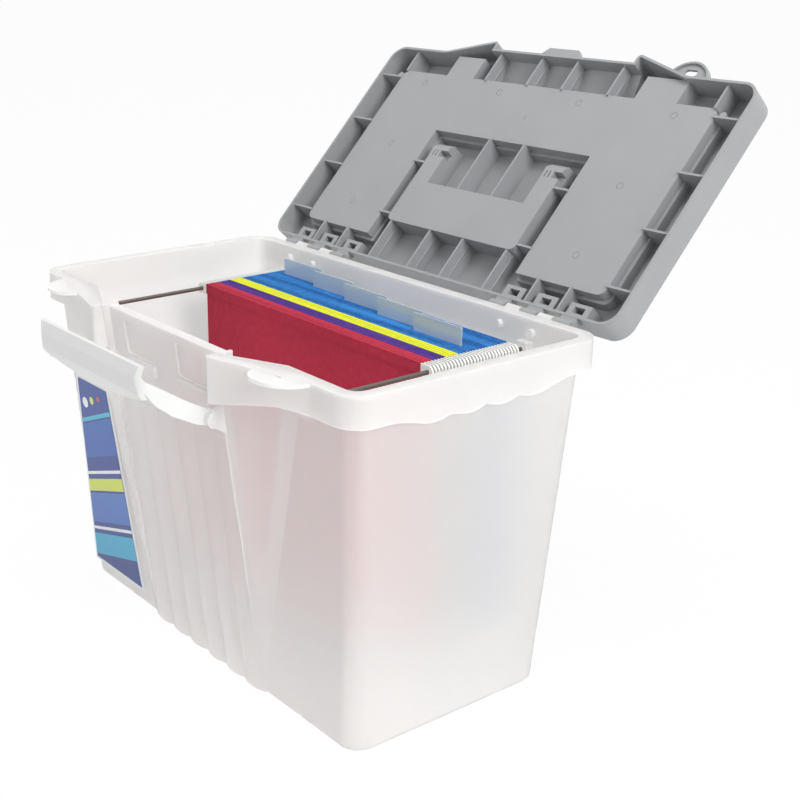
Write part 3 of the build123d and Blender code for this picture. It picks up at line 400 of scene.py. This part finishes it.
frosted_wall = frosted(
    "frosted_polypropylene_tub",
    "#F9F8F7",
    "#F4F3F2",
    see_through=0.67,
    roughness=0.5,
    grain=0.35,
)
frosted_latch = frosted(    # the same plastic, thicker and smoother
    "frosted_polypropylene_latch",
    "#F1F2F1",
    "#E9EAE9",
    see_through=0.25,
    roughness=0.36,
    grain=0.2,
)
print("frosted:", frosted_wall.name, frosted_latch.name)

# %% [markdown]
# ## Grey polypropylene
#
# The lid, its cover and the carry handle are the same resin with a grey pigment, so no
# light comes through. The underside is plain tool finish: satin, with a faint cloudy
# variation where the melt flowed, and soft edges from the mould's small radii. These
# could be cut into the mesh, but on hundreds of rib edges only the gleam along them
# shows. The shader's bevel gives that gleam, and the solid keeps its shape.

# %% Grey polypropylene material
FLOW_MARK_MM = 55.0
TOOL_GRAIN_MM = 0.5      # drawn coarser than the real skin, which is too fine to show
TOOL_GRAIN_DEPTH = 0.04 * MM
TOOL_GRAIN_STRENGTH = 0.25
LID_EDGE = 0.6 * MM


def pigmented(name, colour, shade, roughness):
    """Pigmented polypropylene with a satin tool finish."""
    material, shader = new_material(name, Roughness=roughness, IOR=POLYPROPYLENE_IOR)
    tree = material.node_tree
    place = add_node(tree, "ShaderNodeTexCoord").outputs["Object"]
    clouded(tree, shader, place, FLOW_MARK_MM, 4, shade, colour)
    fine_relief(
        tree,
        shader,
        place,
        TOOL_GRAIN_MM,
        2,
        TOOL_GRAIN_STRENGTH,
        TOOL_GRAIN_DEPTH,
        LID_EDGE,
    )
    return material


grey_lid = pigmented("grey_polypropylene_lid", "#A0A2A4", "#96989A", roughness=0.42)
grey_handle = pigmented("grey_polypropylene_handle", "#95989A", "#8B8E90", roughness=0.38)
print("grey:", grey_lid.name, grey_handle.name)

# %% [markdown]
# ## Coloured card
#
# Hanging folders are cut from dyed card of about 0.3 mm. Card is matt, with short wood
# fibres pressed flat that show as a faint mottle. The sheets lean unevenly and the hems
# shade each other, so no two sheets catch the light alike; that light and shade is painted
# into the colour. Each sheet could have a material of its own, but then its colour would
# be set in many places. One material for each colour holds a slow noise, stretched along
# the hems, that paints each sheet lighter or darker and hardly changes along one.

# %% Shade of the card: mottle and painted sheet light
MOTTLE_MM = 6.0
# painted light and shade: each hem is drawn lighter or darker over this size, and it weighs
# more than the mottle
SHEET_LIGHT_MM = 9.0           # shade differs from one hem to the next
ALONG_MM = 260.0         # but hardly along a hem
SHEET_LIGHT_WEIGHT = 2.0       # the sheets count this much more than the mottle
SHADE_FROM, SHADE_TO = 1.1, 1.9      # where the sum of both noises mostly lies


def card_mottle_and_sheet_light(tree, place):
    """0 to 1: how light the card is, by painted light and shade on its sheet and by its mottle.
    """
    mottle = add_node(
        tree,
        "ShaderNodeTexNoise",
        {"Vector": place, "Scale": per_metre(MOTTLE_MM), "Detail": 6},
    )
    squeeze = SHEET_LIGHT_MM / ALONG_MM
    along = add_node(
        tree, "ShaderNodeMapping", {"Vector": place, "Scale": (squeeze, 1, squeeze)}
    )
    # painted light and shade: a slow noise that draws each hem lighter or darker, as each
    # leaning sheet catches the light
    painted_sheet_light = add_node(
        tree,
        "ShaderNodeTexNoise",
        {"Vector": along.outputs[0], "Scale": per_metre(SHEET_LIGHT_MM), "Detail": 1},
    )
    both = add_node(
        tree,
        "ShaderNodeMath",
        {0: painted_sheet_light.outputs["Fac"], 1: SHEET_LIGHT_WEIGHT, 2: mottle.outputs["Fac"]},
        operation="MULTIPLY_ADD",
    )
    return add_node(
        tree,
        "ShaderNodeMapRange",
        {"Value": both.outputs[0], "From Min": SHADE_FROM, "From Max": SHADE_TO},
    ).outputs[0]


print("the shade of the card changes", round(ALONG_MM / SHEET_LIGHT_MM), "times slower along a hem")

# %% Card materials
FIBRE_MM = 0.6
FIBRE_STRENGTH = 0.3
FIBRE_DEPTH = 0.05 * MM


def card(name, colour, shade):
    """Dyed card with a faint mottle, pressed fibres and painted light and shade per sheet."""
    material, shader = new_material(name, Roughness=0.85, IOR=1.45, Specular_IOR_Level=0.3)
    tree = material.node_tree
    place = add_node(tree, "ShaderNodeTexCoord").outputs["Object"]
    dye = add_node(
        tree,
        "ShaderNodeMix",
        {"Factor": card_mottle_and_sheet_light(tree, place), "A": linear(shade), "B": linear(colour)},
        data_type="RGBA",
    )
    tree.links.new(dye.outputs["Result"], shader.inputs["Base Color"])
    fine_relief(tree, shader, place, FIBRE_MM, 3, FIBRE_STRENGTH, FIBRE_DEPTH)
    return material


# the second colour is the darker end, reached by painted shade on some sheets and by the mottle
card_colours = {
    "red": card("dyed_card_red", "#C8374F", "#AC2C43"),
    "purple": card("dyed_card_purple", "#5F3D9C", "#432A76"),
    "yellow": card("dyed_card_yellow", "#F0F23E", "#DCE030"),
    "blue": card("dyed_card_blue", "#3F8FD8", "#1F60A6"),
}
white_card = card("bleached_card", "#F6F6F4", "#EEEEEC")
print("card:", ", ".join(card_colours))

# %% [markdown]
# ## Steel, hook coating and tab vinyl
#
# The rails are thin steel rod with a dark coating, and the rods in the hems are bare
# rolled strip. The folder ends are dipped in white vinyl. The index tabs are blue vinyl
# that is clear only in part, because it is scuffed and its paper insert lies close
# behind it. One roughness all over would make each of them look like new plastic, so it
# varies in small spots, as drawing, dipping and handling leave it.

# %% Steel, coating and tab materials
VINYL_IOR = 1.53


def spotted(name, colour, spot_mm, smooth, rough, **surface):
    """A material whose roughness varies in small spots between two values."""
    material, shader = new_material(name, Base_Color=linear(colour), **surface)
    tree = material.node_tree
    place = add_node(tree, "ShaderNodeTexCoord").outputs["Object"]
    spots = add_node(
        tree, "ShaderNodeTexNoise", {"Vector": place, "Scale": per_metre(spot_mm)}
    )
    spread = add_node(
        tree,
        "ShaderNodeMapRange",
        {"Value": spots.outputs["Fac"], "To Min": smooth, "To Max": rough},
    )
    tree.links.new(spread.outputs[0], shader.inputs["Roughness"])
    return material


dark_steel = spotted("coated_steel_rod", "#6B6360", 3.0, 0.3, 0.5, Metallic=0.6)
bare_steel = spotted("rolled_steel_strip", "#B9B9B6", 2.0, 0.28, 0.42, Metallic=1.0)
dipped_vinyl = spotted("dipped_white_vinyl", "#F3F3F0", 2.5, 0.34, 0.5, IOR=VINYL_IOR)
tab_vinyl = spotted(
    "clear_blue_vinyl", "#CFE0F0", 8.0, 0.08, 0.2, IOR=VINYL_IOR, Transmission_Weight=0.22
)
print("metals and vinyls:", dark_steel.name, bare_steel.name, dipped_vinyl.name, tab_vinyl.name)

# %% [markdown]
# ## Dressing the solids
#
# Every solid of the frame gets its material here, and keeps its own shape. Each could
# be dressed where its material is made, but in one table it is easy to see that none
# was forgotten.

# %% Put the materials on the solids
finishes = {
    "tub": frosted_wall,
    "latch_handle": frosted_latch,
    "lid_shell": grey_lid,
    "organizer_cover": grey_lid,
    "carry_handle": grey_handle,
    "lid_hinge_pins": bare_steel,
    "cover_hinge_pins": bare_steel,
    "rail_left": dark_steel,
    "rail_right": dark_steel,
    "index_tabs": tab_vinyl,
    "tab_inserts": white_card,
}
for colour, material in card_colours.items():
    finishes[f"folders_{colour}"] = material
    finishes[f"rods_{colour}"] = bare_steel
    finishes[f"hooks_{colour}"] = dipped_vinyl


def dress(name, material):
    """Gives a solid of the frame one material."""
    mesh = nodes[name].data
    mesh.materials.clear()
    mesh.materials.append(material)


for name, material in finishes.items():
    dress(name, material)
print("dressed", len(finishes), "solids")

# %% [markdown]
# ## The printed label
#
# The label is a glossy film stuck on the flat left part of the front. Its right edge
# slants with the moulding beside it. The print is plain: slanting stripes and three
# discs in blue, cyan, lime and orange on a blue ground with a white border. It could be
# an image, but that blurs when the camera comes close. Flat shapes keep their edges
# sharp, and each is laid a few tenths of a millimetre over the film, as raised ink.

# %% Label film and inks
LABEL_ROUGHNESS = 0.25
LABEL_IOR = 1.5
INK_COLOURS = {    # at the label's foot and at its head
    "navy": ("#263C86", "#35529F"),
    "blue": ("#2C4FA0", "#3F6FC0"),
    "sky": ("#3C62B4", "#5B8FD4"),
    "cyan": ("#2FA3CC", "#56C0DE"),
    "pale": ("#E4EAF2", "#F2F5F9"),
    "lime": ("#C9D94A", "#DCE86A"),
    "orange": ("#DD4B34", "#E8603F"),
}

label_low, label_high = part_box("front_label")
label_film, _ = new_material(
    "glossy_label_film",
    Base_Color=linear("#EEF2F6"),
    Roughness=LABEL_ROUGHNESS,
    IOR=LABEL_IOR,
)
dress("front_label", label_film)


def ink(name, dark, light):
    """Printed ink that fades from a darker foot to a lighter head."""
    material, shader = new_material(
        f"label_ink_{name}", Roughness=LABEL_ROUGHNESS, IOR=LABEL_IOR
    )
    tree = material.node_tree
    place = add_node(tree, "ShaderNodeTexCoord").outputs["Object"]
    height = add_node(tree, "ShaderNodeSeparateXYZ", {"Vector": place}).outputs["Z"]
    fade = add_node(
        tree,
        "ShaderNodeMapRange",
        {"Value": height, "From Min": label_low.z, "From Max": label_high.z},
    )
    tint = add_node(
        tree,
        "ShaderNodeMix",
        {"Factor": fade.outputs[0], "A": linear(dark), "B": linear(light)},
        data_type="RGBA",
    )
    tree.links.new(tint.outputs["Result"], shader.inputs["Base Color"])
    return material


inks = {name: ink(name, dark, light) for name, (dark, light) in INK_COLOURS.items()}
print("label from", [round(v, 3) for v in label_low], "to", [round(v, 3) for v in label_high])

# %% Where the label lies
BORDER = 2.6 * MM
LABEL_THICKNESS = 0.3 * MM
INK_THICKNESS = 0.06 * MM
INK_RISE = 0.1 * MM      # the ground's ink over the film
OVER_RISE = 2.4 * INK_RISE    # what is printed over the ground

label_height = label_high.z - label_low.z
label_lean = (label_high.y - label_low.y) / label_height
label_corners = [vertex.co for vertex in nodes["front_label"].data.vertices]
label_middle = (label_low.z + label_high.z) / 2
slant_foot_x = max(corner.x for corner in label_corners if corner.z < label_middle)
slant_top_x = max(corner.x for corner in label_corners if corner.z > label_middle)


def on_label(x, height, rise):
    """A point on the leaning label, by its x and its height above the label's foot."""
    y = label_high.y - LABEL_THICKNESS - height * label_lean - rise
    return Vector((x, y, label_low.z + height))


def slanted_edge(height):
    """The x of the label's slanted right edge, less the border."""
    return slant_foot_x + (slant_top_x - slant_foot_x) * height / label_height - BORDER


lean = round(math.degrees(math.atan(label_lean)), 1)
print("label is", round(label_height / MM), "mm high and leans", lean, "degrees")

# %% [markdown]
# ## From an edited mesh to a piece
#
# The details that follow are built point by point as edited meshes. Each then becomes
# an object that rides on the body that carries it on the real box, so that it follows
# when the lid swings.

# %% Printed shapes
def add_piece(name, shape, material):
    """Turns an edited mesh, which it uses up, into an object with one material."""
    bmesh.ops.recalc_face_normals(shape, faces=shape.faces)
    mesh = bpy.data.meshes.new(name)
    shape.to_mesh(mesh)
    shape.free()
    mesh.materials.append(material)
    piece = bpy.data.objects.new(name, mesh)
    scene.collection.objects.link(piece)
    return piece


def print_shape(name, outline, colour, rise):
    """Lays a flat inked shape, given as (x, height) corners, on the label."""
    shape = bmesh.new()
    face = shape.faces.new([shape.verts.new(on_label(x, h, rise)) for x, h in outline])
    layer = bmesh.ops.extrude_face_region(shape, geom=[face])
    moved = [v for v in layer["geom"] if isinstance(v, bmesh.types.BMVert)]
    bmesh.ops.translate(shape, verts=moved, vec=(0, -INK_THICKNESS, 0))
    piece = add_piece(name, shape, inks[colour])
    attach(piece, "tub")


def band(name, foot, width, climb, colour, rise):
    """A band of ink across the label, which climbs on its way to the slanted edge."""
    left = label_low.x + BORDER
    right_foot, right_head = foot + climb, foot + climb + width
    corners = [
        (left, foot),
        (slanted_edge(right_foot), right_foot),
        (slanted_edge(right_head), right_head),
        (left, foot + width),
    ]
    print_shape(name, corners, colour, rise)


band("label_ground", BORDER, label_height - 2 * BORDER, 0, "navy", INK_RISE)
print("printed the ground,", round((label_height - 2 * BORDER) / MM), "mm high")

# %% Stripes
CLIMB = 22 * MM
STRIPES = (
    # height of the foot in percent of the label's, width in mm, ink
    (3, 22, "cyan"),
    (17, 3, "pale"),
    (21, 30, "sky"),
    (38, 12, "lime"),
    (47, 3, "pale"),
    (56, 34, "blue"),
    (75, 4, "cyan"),
)

for percent, width_mm, colour in STRIPES:
    foot = percent / 100 * label_height
    band(f"label_stripe_{percent}", foot, width_mm * MM, CLIMB, colour, OVER_RISE)
print("printed", len(STRIPES), "stripes")

# %% Discs
DISCS = ((5, "pale"), (3.6, "lime"), (2.4, "orange"))    # radius in mm, ink
DISC_SIDES = 32
DISC_PITCH = 13 * MM
DISC_CLIMB = 5 * MM      # each disc sits this much higher than the one before
FIRST_DISC = 0.87        # its height, as a share of the label's


def disc_outline(x, height, radius):
    """The corners of a round shape."""
    turns = [math.tau * k / DISC_SIDES for k in range(DISC_SIDES)]
    return [(x + radius * math.cos(turn), height + radius * math.sin(turn)) for turn in turns]


for i, (radius_mm, colour) in enumerate(DISCS):
    x = label_low.x + (1 + i) * DISC_PITCH
    height = FIRST_DISC * label_height + i * DISC_CLIMB
    outline = disc_outline(x, height, radius_mm * MM)
    print_shape(f"label_disc_{i}", outline, colour, OVER_RISE)
print("printed", len(DISCS), "discs")

# %% [markdown]
# ## Marks of the mould
#
# The pins that push a moulding out of its tool leave shallow round witness marks, and
# the gate where the melt came in leaves a small raised ring. On the lid they show on
# the broad panel of its underside. A bump texture could draw them, but then the mesh
# wouldn't have them, so each is a low ring of real faces. The panel that they lie on is
# found by itself: it is the largest flat stretch of the lid that looks forward and up.

# %% Find the lid's panel
LEVEL_STEP = 0.5 * MM    # faces whose levels differ by less belong together

lid_mesh = nodes["lid_shell"].data
stretches = {}
for face in lid_mesh.polygons:
    if face.normal.y < -0.5 and face.normal.z > 0.3:
        key = (round(face.normal.y, 2), round(face.normal.dot(face.center) / LEVEL_STEP))
        stretches.setdefault(key, []).append(face)
panel = max(stretches.values(), key=lambda faces: sum(face.area for face in faces))
panel_area = sum(face.area for face in panel)
panel_normal = panel[0].normal.copy()
panel_up = panel_normal.cross(Vector((1, 0, 0)))
if panel_up.z < 0:
    panel_up.negate()
corners = [lid_mesh.vertices[i].co for face in panel for i in face.vertices]
panel_height = panel_normal.dot(panel[0].center)
panel_foot = min(corner.dot(panel_up) for corner in corners)
panel_head = max(corner.dot(panel_up) for corner in corners)
panel_length = panel_head - panel_foot
print("panel:", round(panel_area * 1e4), "cm2,", round(panel_length / MM), "mm up the slope")

# %% Witness marks
MARK_STEPS = 28
LIP_SLOPE = 0.15 * MM    # across the lip's outer and inner slopes
LIP_TOP = 0.3 * MM       # across the flat between them


def on_panel(x, up, rise):
    """A point on the lid's panel, by its x and how far it is up the panel's slope."""
    along = panel_up * (panel_foot + up)
    return Vector((x, 0, 0)) + along + panel_normal * (panel_height + rise)


def witness_mark(name, x, up, radius, lip):
    """A shallow round rim, as thin as the step that a tool pin leaves."""
    top_out = radius - LIP_SLOPE
    top_in = top_out - LIP_TOP
    profile = [(radius, 0), (top_out, lip), (top_in, lip), (top_in - LIP_SLOPE, 0)]
    ring = bmesh.new()
    rows = []
    for i in range(MARK_STEPS):
        angle = math.tau * i / MARK_STEPS
        across, along = math.cos(angle), math.sin(angle)
        points = [on_panel(x + r * across, up + r * along, rise) for r, rise in profile]
        rows.append([ring.verts.new(point) for point in points])
    for i in range(MARK_STEPS):
        here, there = rows[i], rows[(i + 1) % MARK_STEPS]
        for j in range(len(profile)):
            k = (j + 1) % len(profile)
            ring.faces.new([here[j], there[j], there[k], here[k]])
    mark = add_piece(name, ring, grey_lid)
    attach(mark, "lid")


print("a mark's lip is", round((2 * LIP_SLOPE + LIP_TOP) / MM, 2), "mm across")

# %% Place the marks
PIN_RADIUS, PIN_LIP = 3.4 * MM, 0.05 * MM
GATE_RADIUS, GATE_LIP = 2.0 * MM, 0.2 * MM
HEAD_ROW = 0.83          # rows of pins, as shares of the panel's length
MIDDLE_ROW = 0.476
FOOT_ROW = 0.14
GATE_ROW = 0.72
HEAD_XS = (-0.155, -0.05, 0.05, 0.155)
SIDE_XS = (-0.146, 0.146)

pins = [(x, HEAD_ROW) for x in HEAD_XS]
pins += [(x, row) for x in SIDE_XS for row in (FOOT_ROW, MIDDLE_ROW)]
for i, (x, row) in enumerate(pins):
    witness_mark(f"pin_mark_{i}", x, row * panel_length, PIN_RADIUS, PIN_LIP)
witness_mark("gate_mark", 0, GATE_ROW * panel_length, GATE_RADIUS, GATE_LIP)
print("marks on the panel:", len(pins) + 1)

# %% [markdown]
# ## Pivot housings of the carry handle
#
# The handle's pins sit in two channels. From below each channel ends in a housing: a
# raised block, level with the finger pocket beside it, with a sloped end, two narrow
# slits that let the plastic flex as a pin snaps in, and a slot where the tool reached
# the pin's seat. It is one moulding with the lid. It could be a box with the slits cut
# out of it, but cuts leave long thin faces that are hard to check. Here the plan of the
# block is a small grid of cells with a height each, so each slit is a lower cell.

# %% Levels under the lid
CHANNEL_OUT = 83.0 * MM      # outer side of each channel
CHANNEL_WIDTH = 21.0 * MM
CHANNEL_LENGTH = 45.0 * MM   # from the pocket to the channel's closed end
POCKET_HEAD = 0.3974         # metres up the slope, where the pocket meets the channels
POCKET_REACH = 50.0 * MM     # a little more than the pocket's length
CLEAR_OF_EDGE = 5.0 * MM     # a face this far from the pocket's head is on one side of it
UNDER_FACE = 0.04 * MM       # just under the pocket's face, where the two overlap
ALIGNED = 0.99               # cosine between a face and the panel that count as parallel


def level_of(x, low_up, high_up):
    """Height over the panel of the flat at an x, between two places up the slope."""
    found = [
        face
        for face in lid_mesh.polygons
        if face.normal.dot(panel_normal) > ALIGNED
        and any(abs(lid_mesh.vertices[i].co.x - x) < 0.5 * MM for i in face.vertices)
        and low_up < face.center.dot(panel_up) - panel_foot < high_up
    ]
    return max(panel_normal.dot(face.center) for face in found) - panel_height


pocket_head = POCKET_HEAD - panel_foot
pocket_level = level_of(CHANNEL_OUT, pocket_head - POCKET_REACH, pocket_head - CLEAR_OF_EDGE)
channel_level = level_of(CHANNEL_OUT, pocket_head + CLEAR_OF_EDGE, pocket_head + CHANNEL_LENGTH)
housing_top = pocket_level - UNDER_FACE
levels = [round(level / MM, 1) for level in (pocket_level, channel_level)]
print("pocket and channels over the panel:", levels, "mm")

# %% Plan of a housing
COLUMNS = (0.1, 3.2, 4.4, 7.4, 8.6, 12.0, 20.9)      # mm across the channel, from its left
ROWS = (-6.5, 29.5, 36.0, 40.0, 44.9)    # mm from the pocket's head, which it overlaps
RECESSED_COLUMNS = (1, 3, 5)             # two slits and the slot
RECESSED_ROW = 1
SLOPED_ROW = len(ROWS) - 2
RECESS = 7.5 * MM
SLOPE = 4.5 * MM             # how far the sloped end falls
SUNK = 0.2 * MM              # the block's foot is this deep in the channel's floor


def housing_height(cell, up):
    """How high a cell of the housing is over the panel, at a place up the slope."""
    column, row = cell
    if row == RECESSED_ROW and column in RECESSED_COLUMNS:
        return housing_top - RECESS
    if row == SLOPED_ROW:
        run = (up - pocket_head) / MM - ROWS[-2]
        return housing_top - SLOPE * run / (ROWS[-1] - ROWS[-2])
    return housing_top


print("plan of", len(COLUMNS) - 1, "by", len(ROWS) - 1, "cells,", RECESS / MM, "mm recesses")

# %% Build the housings
WELD = 0.01 * MM


def stepped_block(name, xs, ups, top_of, foot):
    """A closed block over a grid in the panel's plane, as high as top_of(cell, up) says."""
    columns, rows = len(xs) - 1, len(ups) - 1
    block = bmesh.new()

    def add_face(points):
        distinct = []
        for point in points:
            if all((point - other).length > WELD for other in distinct):
                distinct.append(point)
        if len(distinct) > 2:
            block.faces.new([block.verts.new(point) for point in distinct])

    def top(cell, i, j):
        inside = 0 <= cell[0] < columns and 0 <= cell[1] < rows
        return on_panel(xs[i], ups[j], top_of(cell, ups[j]) if inside else foot)

    def upright(start, end, cell, other):
        add_face([top(cell, *start), top(cell, *end), top(other, *end), top(other, *start)])

    for i in range(columns):
        for j in range(rows):
            around = ((i, j), (i + 1, j), (i + 1, j + 1), (i, j + 1))
            add_face([top((i, j), *corner) for corner in around])
            add_face([on_panel(xs[a], ups[b], foot) for a, b in around])
    for i in range(columns + 1):
        for j in range(rows):
            upright((i, j), (i, j + 1), (i, j), (i - 1, j))
    for i in range(columns):
        for j in range(rows + 1):
            upright((i, j), (i + 1, j), (i, j), (i, j - 1))
    bmesh.ops.remove_doubles(block, verts=block.verts, dist=WELD)
    piece = add_piece(name, block, grey_lid)
    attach(piece, "lid")


for side, start in (("left", -CHANNEL_OUT), ("right", CHANNEL_OUT - CHANNEL_WIDTH)):
    stepped_block(
        f"pivot_housing_{side}",
        [start + column * MM for column in COLUMNS],
        [pocket_head + row * MM for row in ROWS],
        housing_height,
        channel_level - SUNK,
    )
print("pivot housings:", round((housing_top - channel_level) / MM, 1), "mm over the channels")
